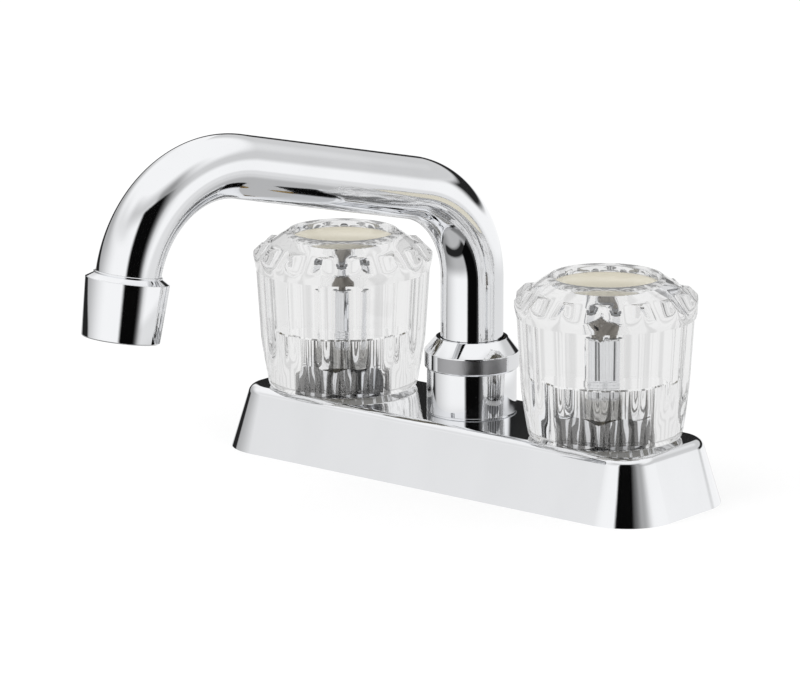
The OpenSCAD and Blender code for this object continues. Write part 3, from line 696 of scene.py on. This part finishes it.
class FAUCET_OT_under_deck(bpy.types.Operator):
    """Cuts the threads of the supply shanks and finishes what is bolted up under the deck"""

    bl_idname = "faucet.under_deck"
    bl_label = "Under the deck"

    def execute(self, context):
        s = context.scene.faucet_sizes
        for side in VALVES:
            low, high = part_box(side + "_shank")
            self.shank(side, low.z / MM, high.z / MM, s.thread_pitch / MM)
        for node, name in (("base_gasket", "rubber"), ("waterway_body", "brass"),
                           ("mounting_washers", "steel"), ("mounting_nuts", "brass")):
            dress(node, name)
        return {"FINISHED"}

    def shank(self, side, low, high, pitch):
        """A turned shank with a plain bore, and one thread wound round it from the foot to the collar."""
        crest, root, bore, collar = 10.45, 9.35, 6.0, 10.8
        start, sunk, turns, steps = low + 1.2, 0.2, 26, 36
        core = [(bore, low + 0.5), (bore + 0.5, low), (root - 0.6, low), (root, low + 0.6), (root, -0.9),
                (collar - 0.4, -0.6), (collar, 0.0), (collar, high), (bore, high)]
        bm = lathe(core, 72, closed=True)
        thread = bmesh.new()
        outline = [(root - sunk, 0.02), (crest, 0.42), (crest, 0.58), (root - sunk, 0.98)]
        face = thread.faces.new([thread.verts.new((r, 0, start + part * pitch)) for r, part in outline])
        tooth = [*thread.verts, *thread.edges, face]
        bmesh.ops.spin(thread, geom=tooth, axis=(0, 0, 1), cent=(0, 0, 0),
                       angle=2 * math.pi * turns, steps=steps * turns, dvec=(0, 0, pitch / steps))
        bmesh.ops.recalc_face_normals(thread, faces=thread.faces)
        wound = bpy.data.meshes.new("thread")
        thread.to_mesh(wound)
        thread.free()
        bm.from_mesh(wound)
        bpy.data.meshes.remove(wound)
        piece(side + "_threaded_shank", bm, "brass", "faucet_body", [side + "_shank"], at=valve(side))


class FAUCET_OT_spout_base(bpy.types.Operator):
    """Turns the hub that carries the spout and the nut with its two satin grip panels"""

    bl_idname = "faucet.spout_base"
    bl_label = "Spout base"

    def execute(self, context):
        s = context.scene.faucet_sizes
        foot, r = s.cover_height / MM, s.hub_radius / MM
        low, ledge, neck = HUB[0].z / MM, NUT[0].z / MM, HUB[1].z / MM
        bore, spigot, neck_r, socket, floor = 7, 11, 12.5, 10.18, foot + 1.1
        hub = [(bore, low), (spigot - 0.3, low), (spigot, low + 0.3), (spigot, foot)]
        hub += [(r - 0.45, foot), (r - 0.45, foot + 0.3)]
        hub += arc(r - 0.25, foot + 0.55, 0.25, -90, 0, 4) + arc(r - 0.3, ledge - 0.3, 0.3, 0, 90, 4)
        hub += [(neck_r, ledge), (neck_r, neck), (socket, neck), (socket, floor), (bore, floor)]
        piece("spout_hub_barrel", lathe(hub, 96, closed=True), "chrome", "faucet_body", ["spout_hub"])
        self.nut(s, ledge)
        dress("friction_ring", "nylon")
        return {"FINISHED"}

    def nut(self, s, low):
        """A cone over a band whose front and back are set in a little and left satin."""
        r, top_r = s.nut_radius / MM, s.nut_top / MM
        band, top = low + s.nut_band / MM, NUT[1].z / MM
        thread, shelf, throat = 12.6, 11.8, 9.9
        grip_low, grip_top, line, sunk, skin = low + 0.5, band - 0.35, 0.04, 0.12, 0.2
        profile = [(thread, low), (r - 0.4, low), (r - 0.05, low + 0.35), (r, low + 0.45)]
        profile += [(r, grip_low), (r, grip_low + line), (r, grip_top - line), (r, grip_top)]
        profile += arc(r - 0.35, band - 0.15, 0.35, 0, 40, 4)
        profile += arc(top_r - 0.3, top - 0.3, 0.3, 42, 90, 4)
        profile += [(throat, top), (throat, band + 0.4), (shelf, band + 0.4), (shelf, band - 0.4)]
        profile += [(thread, band - 0.4)]
        bm = lathe(profile, 180, closed=True)
        for v in bm.verts:
            outer = v.co.xy.length > r - skin
            if outer and grip_low + line / 2 < v.co.z < grip_top - line / 2 and self.gripped(v.co):
                v.co.xy *= (r - sunk) / v.co.xy.length
        for face in bm.faces:
            middle = face.calc_center_median()
            outer = middle.xy.length > r - skin
            if outer and grip_low + line < middle.z < grip_top - line and self.gripped(middle):
                face.material_index = 1
        piece("spout_nut_with_grip", bm, "chrome", "faucet_body", ["spout_nut"],
              (finish("chrome"), finish("grip")), sharp=28)

    def gripped(self, spot):
        """Whether a point of the band is in the front panel or the one opposite."""
        front, half = math.radians(-51), math.radians(48)
        turn = math.atan2(spot.y, spot.x) - front
        return abs((turn + math.pi / 2) % math.pi - math.pi / 2) < half


class FAUCET_OT_spout(bpy.types.Operator):
    """Bends the chrome spout tube along its two bends and finishes its swivel"""

    bl_idname = "faucet.spout"
    bl_label = "Spout"

    def execute(self, context):
        s = context.scene.faucet_sizes
        slope, turn = s.run_slope, s.bend_2_turn
        bm = bmesh.new()
        ring = bmesh.ops.create_circle(bm, segments=96, radius=s.tube_radius / MM,
                                       matrix=Matrix.Translation((0, 0, s.tube_foot / MM)))["verts"]
        lines = list({e for v in ring for e in v.link_edges})
        lines = self.straight(bm, lines, (0, 0, (s.riser_top - s.tube_foot) / MM))
        first = s.bend_1 / MM
        lines = self.bend(bm, lines, (first, 0, s.riser_top / MM), math.pi / 2 - slope, 48)
        way = Vector((math.cos(slope), 0, math.sin(slope)))
        lines = self.straight(bm, lines, way * s.run / MM)
        middle = Vector((0, 0, 0))
        for e in lines:
            middle += (e.verts[0].co + e.verts[1].co) / 2 / len(lines)
        centre = middle + Vector((math.sin(slope), 0, -math.cos(slope))) * s.bend_2 / MM
        lines = self.bend(bm, lines, centre, turn, 60)
        away = slope - turn
        self.straight(bm, lines, Vector((math.cos(away), 0, math.sin(away))) * s.tail / MM)
        bmesh.ops.remove_doubles(bm, verts=bm.verts, dist=1e-4)
        bmesh.ops.recalc_face_normals(bm, faces=bm.faces)
        swing = Matrix.Rotation(-math.pi / 2 - s.spout_swing, 4, "Z")
        tube = piece("bent_spout_tube", bm, "chrome", "spout", ["spout_tube"], at=swing)
        wall(tube, s.tube_wall)
        dress("spout_adapter", "brass")
        dress("spout_o_rings", "rubber")
        return {"FINISHED"}

    def straight(self, bm, lines, way):
        """Carries the tube's end straight on and gives its new edges."""
        return only(pull(bm, lines, way), bmesh.types.BMEdge)

    def bend(self, bm, lines, centre, angle, steps):
        """Carries the tube's end round a bend and gives its new edges."""
        points = list({v for e in lines for v in e.verts})
        last = bmesh.ops.spin(bm, geom=points + lines, axis=(0, 1, 0), cent=centre, angle=angle,
                              steps=steps)["geom_last"]
        return only(last, bmesh.types.BMEdge)


class FAUCET_OT_outlet(bpy.types.Operator):
    """Turns the ferrule's bright cone and the aerator housing at the spout's outlet"""

    bl_idname = "faucet.outlet"
    bl_label = "Outlet"

    def execute(self, context):
        s = context.scene.faucet_sizes
        at = outlet(s)
        fit, lip, thread, bore = s.tube_radius / MM + 0.1, 12.1, 10.6, 8.325
        seam, socket_end, end = 0.4, 6.0, 10.5
        ferrule = [(fit, -1.5)] + arc(9.8, -1.2, 0.3, -90, 60, 6)
        ferrule += [(10.05, -0.85), (lip, seam), (thread, seam), (thread, end), (bore, end)]
        ferrule += [(bore, socket_end), (fit, socket_end)]
        piece("outlet_cone", lathe(ferrule, 96, closed=True), "chrome", "spout", ["outlet_ferrule"], at=at)
        inner, seat, mouth = 10.7, 9.9, 8.7
        thread_end, seat_end, mouth_end = 12.0, 16.6, 17.7
        shell = [(inner, seam)] + arc(12.07, 0.6, 0.2, -90, -3, 3) + arc(10.93, 17.2, 0.5, -3, 90, 6)
        shell += [(mouth + 0.3, mouth_end), (mouth, mouth_end - 0.3), (mouth, seat_end), (seat, seat_end)]
        shell += [(seat, thread_end), (inner, thread_end)]
        piece("aerator_shell", lathe(shell, 96, closed=True), "chrome", "spout", ["aerator_housing"], at=at)
        for node, name in (("aerator_washer", "rubber"), ("aerator_insert", "nylon"),
                           ("aerator_screen", "steel")):
            dress(node, name)
        return {"FINISHED"}


class FAUCET_OT_cartridges(bpy.types.Operator):
    """Turns the stems with their twelve-sided drives and finishes the quarter-turn cartridges"""

    bl_idname = "faucet.cartridges"
    bl_label = "Cartridges"

    inner = {
        "sleeve": "bright_steel",
        "sleeve_o_ring": "rubber",
        "fixed_disc": "ceramic",
        "seat_seal": "rubber",
        "bonnet_nut": "chrome",
        "moving_disc": "ceramic",
        "stem_o_ring": "rubber",
    }

    def execute(self, context):
        s = context.scene.faucet_sizes
        for side in VALVES:
            for node, name in self.inner.items():
                dress(side + "_" + node, name)
            turn = s.hot_drive if side == "hot" else 0.0
            piece(side + "_drive_stem", self.stem(turn), "chrome", side + "_handle", [side + "_stem"],
                  at=valve(side), sharp=20)
        return {"FINISHED"}

    def stem(self, turn):
        """A turned stem with a drive head below, an O-ring groove and a twelve-sided top."""
        head, head_end, groove, groove_end = 13.0, 17.0, 28.8, 30.4
        drive, top, hole_end = 39.0, 52.0, 42.65
        head_r, shaft, groove_r, drive_r, hole_r = 6.2, 4.0, 2.7, 3.9, 2.0
        profile = [(0, head), (head_r - 0.2, head), (head_r, head + 0.2), (head_r, head_end - 0.2)]
        profile += [(head_r - 0.2, head_end), (shaft, head_end), (shaft, groove), (groove_r, groove)]
        profile += [(groove_r, groove_end), (shaft, groove_end), (shaft, drive - 0.1), (drive_r, drive)]
        profile += [(drive_r, drive + 0.05), (drive_r, top - 0.5), (drive_r - 0.5, top), (hole_r, top)]
        profile += [(hole_r, hole_end), (0, hole_end)]
        bm = lathe(profile, 72)
        step = math.pi / 6
        for v in bm.verts:
            if drive < v.co.z < top - 0.4 and v.co.xy.length > hole_r + 1:
                off = (math.atan2(v.co.y, v.co.x) - turn) % step - step / 2
                v.co.xy *= math.cos(step / 2) / math.cos(off)
        return bm


class FAUCET_OT_knobs(bpy.types.Operator):
    """Moulds the clear fluted knobs, their cream buttons and their screws"""

    bl_idname = "faucet.knobs"
    bl_label = "Knobs"

    button_edge = 1.6

    def execute(self, context):
        s = context.scene.faucet_sizes
        for side in VALVES:
            body = side + "_handle"
            turn = Matrix.Rotation(s.cold_turn if side == "cold" else 0.0, 4, "Z")
            piece(side + "_clear_knob", self.knob(s), "acrylic", body, [side + "_knob"],
                  at=valve(side) @ turn, sharp=40)
            piece(side + "_cream_button", self.button(s), "button", body, [side + "_button"], at=valve(side))
            dress(side + "_screw", "steel")
        return {"FINISHED"}

    def knob(self, s):
        """The knob's closed outline spun about its axis, then pressed in at each flute, facet and petal."""
        waist_h, crown_h, boss_h, flare_h, corner_r = 14.2, 8.0, 4.0, 3.5, 25
        diagonal = math.sqrt(2)
        low, top = KNOB[0].z / MM, KNOB[1].z / MM
        waist_z, shoulder_z = low + waist_h, top - boss_h
        crown_z = shoulder_z - crown_h
        foot, waist, skirt = s.knob_foot / MM, s.knob_waist / MM, s.knob_skirt / MM
        crown, rim, shoulder = s.knob_crown / MM, s.knob_rim / MM, s.knob_shoulder / MM
        petal, petal_top = s.petal_tool / MM, s.petal_top / MM
        boss_rise = boss_h / (shoulder - rim)
        line = (petal_top + shoulder_z + (shoulder - petal_top) * boss_rise) / diagonal
        pitch = 2 * math.pi / s.flutes
        half = corner_r * math.sin(pitch / 2)
        ridge = (line + petal - math.sqrt(petal ** 2 - half ** 2)) * diagonal
        near = math.cos(pitch / 2)
        edge_low, edge_top = (crown, ridge - crown * near), ((ridge - shoulder_z) / near, shoulder_z)
        rises = (0, 0.5, 1.0, 1.7, 2.5, 3.2)
        outside = arc(foot - 0.5, low + 0.5, 0.5, -90, -10, 4)
        outside += along((foot, low), (waist, waist_z), (0.1, 0.2, 0.3, 0.4, 0.5, 0.6, 0.8, 1.0))
        outside += along((waist, waist_z), (skirt, crown_z - 0.03), [i / 8 for i in range(1, 9)])
        outside += along((skirt, crown_z), (crown, crown_z + flare_h), [rise / flare_h for rise in rises])
        outside += [(crown, crown_z + 3.8), (crown, edge_low[1] - 0.9), (crown, edge_low[1] - 0.3)]
        outside += along(edge_low, edge_top, (0.08, 0.2, 0.35, 0.5, 0.65, 0.8, 0.92))
        outside += [(r, shoulder_z) for r in (edge_top[0] - 0.3, shoulder + 0.9, shoulder + 0.25)]
        outside += [(shoulder - t, shoulder_z + t * boss_rise) for t in (0.2, 1.2, 2.4, 3.6)]
        outside += arc(rim - 0.35, top - 0.4, 0.4, 54, 135, 5)
        seat, hollow = BUTTON[1].z / MM - self.button_edge, s.knob_hollow / MM
        well, screw, drive, play = 4.6, 2.0, 4.0, 4.35
        web_top, drive_top, drive_foot, hollow_top = 54, 52, 39, 38
        inside = [(rim - 1, top - 0.6), (rim - 1, seat), (well, seat), (well, web_top), (screw, web_top)]
        inside += [(screw, drive_top), (drive, drive_top), (drive, drive_foot), (play, drive_foot)]
        inside += [(play, hollow_top), (hollow - 0.5, hollow_top), (hollow, hollow_top - 0.5), (hollow, low)]
        bm = lathe(outside + inside, s.flutes * 20, closed=True)
        tool, facet = s.flute_tool / MM, crown - s.facet_depth / MM
        tilt = (skirt - waist) / (crown_z - waist_z)
        for v in bm.verts:
            r, z = v.co.xy.length, v.co.z
            if r < rim + 1:
                continue
            turn = math.atan2(v.co.y, v.co.x)
            off = turn - round(turn / pitch) * pitch
            if z < crown_z - 0.01:
                reach = waist + tool - s.flute_depth / MM + (z - waist_z) * tilt
                r = soft_min(r, reach * math.cos(off) - math.sqrt(tool ** 2 - (reach * math.sin(off)) ** 2))
            elif z > crown_z + 1:
                r = soft_min(r, facet / math.cos(off))
            if z > crown_z + 2:
                across = r * math.sin(off)
                deep = (r * math.cos(off) + z) / diagonal
                cut = soft_min(deep, line + petal - math.sqrt(petal ** 2 - across ** 2)) - deep
                r += cut / diagonal
                z += cut / diagonal
            v.co.xy *= r / v.co.xy.length
            v.co.z = z
        return bm

    def button(self, s):
        """A shallow dish with a rounded edge and a plug that grips the screw well."""
        top, base = BUTTON[1].z / MM, BUTTON[0].z / MM
        r = BUTTON[1].x / MM + s.centres / 2 / MM
        under, dish, dish_r, plug = top - self.button_edge, 0.9, 15, 4.5
        profile = [(t, top - dish + dish * (t / dish_r) ** 2) for t in (0, 2.5, 5, 7.5, 10, 12, 13.5, 14.6)]
        profile += arc(r - 0.4, top - 0.4, 0.4, 80, 0, 5)
        profile += [(r, under), (plug, under), (plug, base + 0.4), (plug - 0.4, base), (0, base)]
        return lathe(profile, 96)


class FAUCET_PT_pieces(bpy.types.Panel):
    """Lists the faucet's pieces with their sizes and colours"""

    bl_label = "Utility faucet"
    bl_idname = "FAUCET_PT_pieces"
    bl_space_type = "VIEW_3D"
    bl_region_type = "UI"
    bl_category = "Faucet"

    def draw(self, context):
        layout = self.layout
        for operator in OPERATORS:
            layout.operator(operator.bl_idname)
        for group in (context.scene.faucet_sizes, context.scene.faucet_colours):
            box = layout.box()
            for name in group.__annotations__:
                box.prop(group, name)


OPERATORS = (
    FAUCET_OT_stage, FAUCET_OT_deck_cover, FAUCET_OT_under_deck, FAUCET_OT_spout_base,
    FAUCET_OT_spout, FAUCET_OT_outlet, FAUCET_OT_cartridges, FAUCET_OT_knobs,
)
CLASSES = (FaucetSizes, FaucetColours) + OPERATORS + (FAUCET_PT_pieces,)


def register():
    for each in CLASSES:
        bpy.utils.register_class(each)
    bpy.types.Scene.faucet_sizes = PointerProperty(type=FaucetSizes)
    bpy.types.Scene.faucet_colours = PointerProperty(type=FaucetColours)


def unregister():
    del bpy.types.Scene.faucet_colours
    del bpy.types.Scene.faucet_sizes
    for each in reversed(CLASSES):
        bpy.utils.unregister_class(each)


def main():
    register()
    bpy.ops.faucet.stage()
    bpy.ops.faucet.deck_cover()
    bpy.ops.faucet.under_deck()
    bpy.ops.faucet.spout_base()
    bpy.ops.faucet.spout()
    bpy.ops.faucet.outlet()
    bpy.ops.faucet.cartridges()
    bpy.ops.faucet.knobs()


if __name__ == "__main__":
    main()
